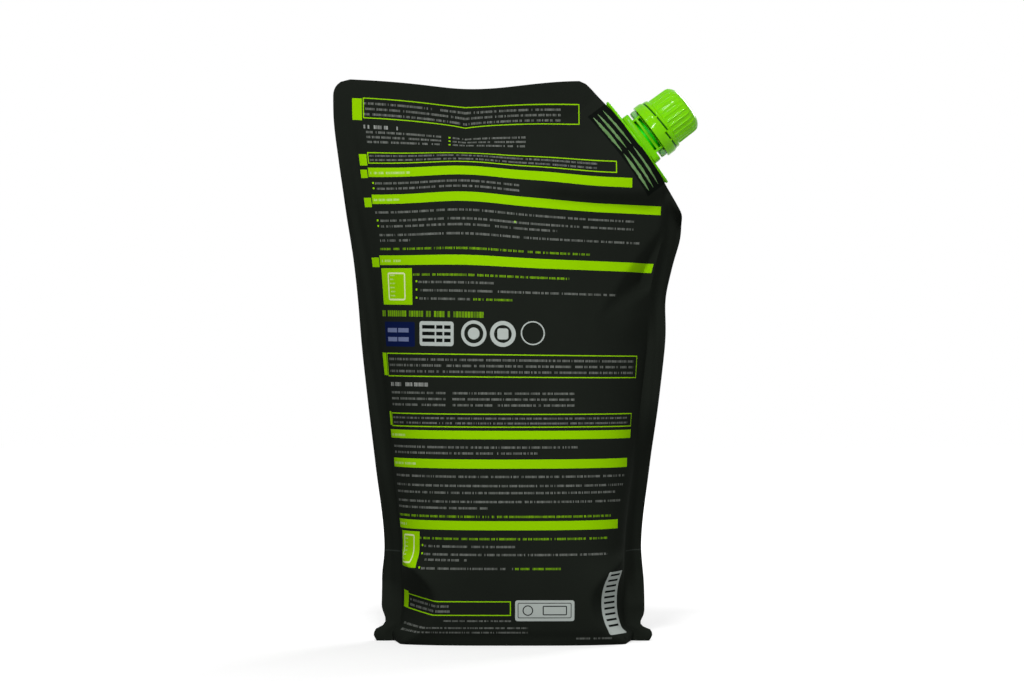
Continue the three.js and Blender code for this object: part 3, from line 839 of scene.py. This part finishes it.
def moulded(name, colour, deep, rough, see_in):
    # Glossy moulded plastic that light goes into a little way, with faint flow clouding
    finish, tree, shader = new_finish(name)
    here = place_node(tree, "ShaderNodeTexCoord").outputs["Object"]
    flow = noise(tree, here, 70, 3, 0.5)
    tree.links.new(mixed(tree, flow, colour, deep), shader.inputs["Base Color"])
    grain = noise(tree, here, 1500, 2, 0.5)
    tree.links.new(sums(tree, "MULTIPLY_ADD", grain, 0.08, rough), shader.inputs["Roughness"])
    bumped(tree, shader, flow, 0.1, 0.0003)
    shader.inputs["Specular IOR Level"].default_value = 0.08
    shader.inputs["Subsurface Weight"].default_value = see_in
    shader.inputs["Subsurface Radius"].default_value = (0.5, 1, 0.05)
    shader.inputs["Subsurface Scale"].default_value = 0.0012
    return finish


spout_finish = moulded("spout_finish", linear(122, 213, 0), linear(106, 204, 0), 0.16, 0.15)
# Painted shade and light for the neck down in the guide
shaded_finish = moulded("shaded_finish", linear(30, 226, 10), linear(14, 214, 6), 0.3, 0.3)
# The wings are painted a pale grey-green, a painted sheen standing in for the white light they catch; the
# moulding itself is lime
wing_sheen_finish = moulded("wing_sheen_finish", linear(150, 196, 138), linear(130, 186, 116), 0.3, 0.4)
spout_finishes = [spout_finish, wing_sheen_finish, shaded_finish]
spout_piece = finished("spout_moulding", seated(spout_shape), spout_finishes, "pouch")
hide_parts("spout")

# Tamper band
# A ring of the cap's own plastic that stays on the neck when the cap is first turned. A catch inside
# grips the neck's bead. Its rim is a saw of three ramps, as steep as the thread, under the same on the cap.
band_low = 9.5
band_high = 14.6
slit = 0.75
tooth_count = 3
tooth_height = thread_pitch / tooth_count
tooth_angle = math.radians(-90 + 19)
bridge_angle = math.radians(-90 - 17)
bridge_width = 0.8
band_shape = turned([
    (10.9, band_low + 0.2), (11.1, band_low), (14.0, band_low), (14.2, band_low + 0.25),
    (14.2, 12.6), (14.1, 13.6), (13.75, 14.4), (13.5, band_high), (13.05, band_high),
    (12.9, 14.4), (12.9, 11.6), (10.9, 10.9),
], 288)


def saw(angle):
    # Height of the saw's rim over its middle
    return tooth_height * (((angle - tooth_angle) / (2 * math.pi) * tooth_count) % 1 - 0.5)


def bridge(angle):
    # What is left of the six small bridges that held the cap and the band together
    off = (angle - bridge_angle + math.pi / 6) % (math.pi / 3) - math.pi / 6
    return slit - 0.05 if abs(off) * 13 < bridge_width / 2 else 0


for vert in band_shape.verts:
    share = float(eased(12.2, band_high, vert.co.z))
    angle = math.atan2(vert.co.y, vert.co.x)
    vert.co.z += share * saw(angle) + (bridge(angle) if vert.co.z > band_high - 0.01 else 0)
cap_finish = moulded("cap_finish", linear(136, 224, 0), linear(120, 216, 0), 0.05, 0.15)
band_piece = finished("tamper_ring", seated(band_shape), [cap_finish], "pouch")
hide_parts("tamper_band")

# Screw cap
# A moulded cap with thirty fine ribs for the fingers, a plain collar at its foot, and a thread inside
# that matches the neck's, four millimetres to the turn.
cap_low = band_high + slit
cap_top = 31.8
rib_count = 30
rib_height = 0.38
rib_sharpness = 0.14
slit_wall = 12.7
cap_profile = [
    (10.6, cap_low - 1.2), (12.75, cap_low - 1.2), (12.75, cap_low), (13.3, cap_low), (13.5, cap_low + 0.2),
    (13.45, cap_low + 0.9), (13.2, cap_low + 1.5), (12.5, cap_low + 1.9), (12.15, cap_low + 2.3),
    (12.08, 18), (12.04, 20), (12.0, 22), (11.96, 24), (11.92, 26), (11.85, 27.2), (11.6, 28.3),
    (11.15, 29.2), (10.5, 29.95), (9.7, 30.5), (8.6, 30.95), (7, 31.3), (4.5, 31.6), (2, 31.75),
    (0, cap_top), (0, 29.8), (9.6, 29.8), (10.2, 29.3), (10.6, 28.4),
]
cap_shape = turned(cap_profile + cap_profile[:1], 360, closed=False)
# The wall behind the slit is painted a dark green as painted shade
for face in cap_shape.faces:
    centre = face.calc_center_median()
    if centre.z < cap_low and math.hypot(centre.x, centre.y) > slit_wall:
        face.material_index = 1
for vert in cap_shape.verts:
    radius = math.hypot(vert.co.x, vert.co.y)
    angle = math.atan2(vert.co.y, vert.co.x)
    if radius > 10.7 and vert.co.z > cap_low + 1.8:
        off = angle * rib_count / (2 * math.pi)
        off = off - round(off)
        rib = rib_height * math.exp(-((off / rib_sharpness) ** 2))
        rib *= float(eased(cap_low + 1.8, cap_low + 2.6, vert.co.z) * (1 - eased(28.0, 30.0, vert.co.z)))
        vert.co.x *= 1 + rib / radius
        vert.co.y *= 1 + rib / radius
    vert.co.z += (1 - float(eased(cap_low, cap_low + 1.9, vert.co.z))) * saw(angle)
lid_shape = fused([cap_shape, thread(10.9, 9.4, 21 - thread_pitch / 2, 1.25)])
# Painted shade for the wall behind the slit
slit_shade_finish = moulded("slit_shade_finish", linear(24, 112, 4), linear(14, 92, 2), 0.4, 0.1)
lid_piece = finished("ribbed_cap", seated(lid_shape), [cap_finish, slit_shade_finish], "cap")
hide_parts("screw_cap")

# Sealing disc
# A disc of white foamed film pressed into the roof of the cap, which closes on the rim of the neck.
liner_profile = [(0, 28.5), (9.9, 28.5), (10.2, 28.8), (10.2, 29.3), (10.0, 29.5), (0, 29.5)]
liner_shape = turned(liner_profile, 96, closed=False)
liner_finish, tree, shader = new_finish("liner_finish")
here = place_node(tree, "ShaderNodeTexCoord").outputs["Object"]
cells = place_node(tree, "ShaderNodeTexVoronoi", (here, None, 1800)).outputs[0]
tree.links.new(mixed(tree, cells, linear(236, 238, 232), linear(214, 217, 209)), shader.inputs["Base Color"])
tree.links.new(sums(tree, "MULTIPLY_ADD", cells, 0.2, 0.65), shader.inputs["Roughness"])
bumped(tree, shader, cells, 0.2, 0.0002)
liner_piece = finished("sealing_disc", seated(liner_shape), [liner_finish], "liner")
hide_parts("cap_liner")

# Floor, studio light and camera
# A white floor under four lamps in a white world, seen from straight ahead as in the photograph.
# Two of the lamps stand where the cap mirrors them to the camera as thin streaks.
floor_shape = bmesh.new()
bmesh.ops.create_grid(floor_shape, x_segments=1, y_segments=1, size=3)
floor_mesh = bpy.data.meshes.new("floor")
floor_shape.to_mesh(floor_mesh)
floor_shape.free()
floor = bpy.data.objects.new("floor", floor_mesh)
bpy.context.scene.collection.objects.link(floor)
floor_finish, tree, shader = new_finish("floor_finish")
here = place_node(tree, "ShaderNodeTexCoord").outputs["Object"]
floor_grey = mixed(tree, noise(tree, here, 5, 2, 0.5), linear(188, 188, 188), linear(196, 196, 196))
tree.links.new(floor_grey, shader.inputs["Base Color"])
shader.inputs["Roughness"].default_value = 0.9
shader.inputs["Specular IOR Level"].default_value = 0.05


def seen_straight(tree):
    path = place_node(tree, "ShaderNodeLightPath").outputs
    mirrored = sums(tree, "MAXIMUM", path["Is Glossy Ray"], path["Is Transmission Ray"])
    return sums(tree, "MAXIMUM", path["Is Camera Ray"], mirrored)


# The floor is lifted to white, less so near the object, where its shadow lies
away = sums(tree, "MINIMUM", vectors(tree, "LENGTH", here), 1)
white_lift = sums(tree, "MULTIPLY_ADD", away, 0.35, 0.55)
shader.inputs["Emission Color"].default_value = (1, 1, 1, 1)
tree.links.new(sums(tree, "MULTIPLY", seen_straight(tree), white_lift), shader.inputs["Emission Strength"])
floor_mesh.materials.append(floor_finish)

scene = bpy.context.scene
scene.view_settings.view_transform = "Standard"
world = bpy.data.worlds.new("studio")
scene.world = world
world.use_nodes = True
tree = world.node_tree
tree.nodes.clear()
soft_light = place_node(tree, "ShaderNodeBackground", ((1, 1, 1, 1), 0.1))
backdrop = place_node(tree, "ShaderNodeBackground", ((1, 1, 1, 1), 1.0))
shown = (seen_straight(tree), soft_light.outputs[0], backdrop.outputs[0])
shown = place_node(tree, "ShaderNodeMixShader", shown)
tree.links.new(shown.outputs[0], place_node(tree, "ShaderNodeOutputWorld").inputs[0])


def lamp(name, place, target, width, height, power):
    data = bpy.data.lights.new(name, "AREA")
    data.shape = "RECTANGLE"
    data.size = width
    data.size_y = height
    data.energy = power
    made = bpy.data.objects.new(name, data)
    made.location = place
    made.rotation_euler = (Vector(target) - Vector(place)).to_track_quat("-Z", "Y").to_euler()
    scene.collection.objects.link(made)


lamp("key_lamp", (0.01, -1.4, 0.62), (0, 0, 0.13), width=0.06, height=0.3, power=6)
lamp("side_lamp", (-0.49, -1.0, 1.3), (0, 0, 0.2), width=0.06, height=0.3, power=2.4)
lamp("top_lamp", (-0.1, -1.6, 2.2), (0, 0, 0.13), width=0.25, height=0.6, power=30)
lamp("back_lamp", (0.7, 1.2, 0.8), (0, 0, 0.1), width=0.6, height=0.6, power=13)

sensor_width = 36
picture_width = 1024
focal_pixels = 3402.5
camera_data = bpy.data.cameras.new("camera")
camera_data.sensor_width = sensor_width
camera_data.lens = sensor_width * focal_pixels / picture_width
camera = bpy.data.objects.new("camera", camera_data)
camera.location = (-0.00048, -1.64, 0.1441)
camera.rotation_euler = (math.pi / 2, 0, 0)
scene.collection.objects.link(camera)
scene.camera = camera
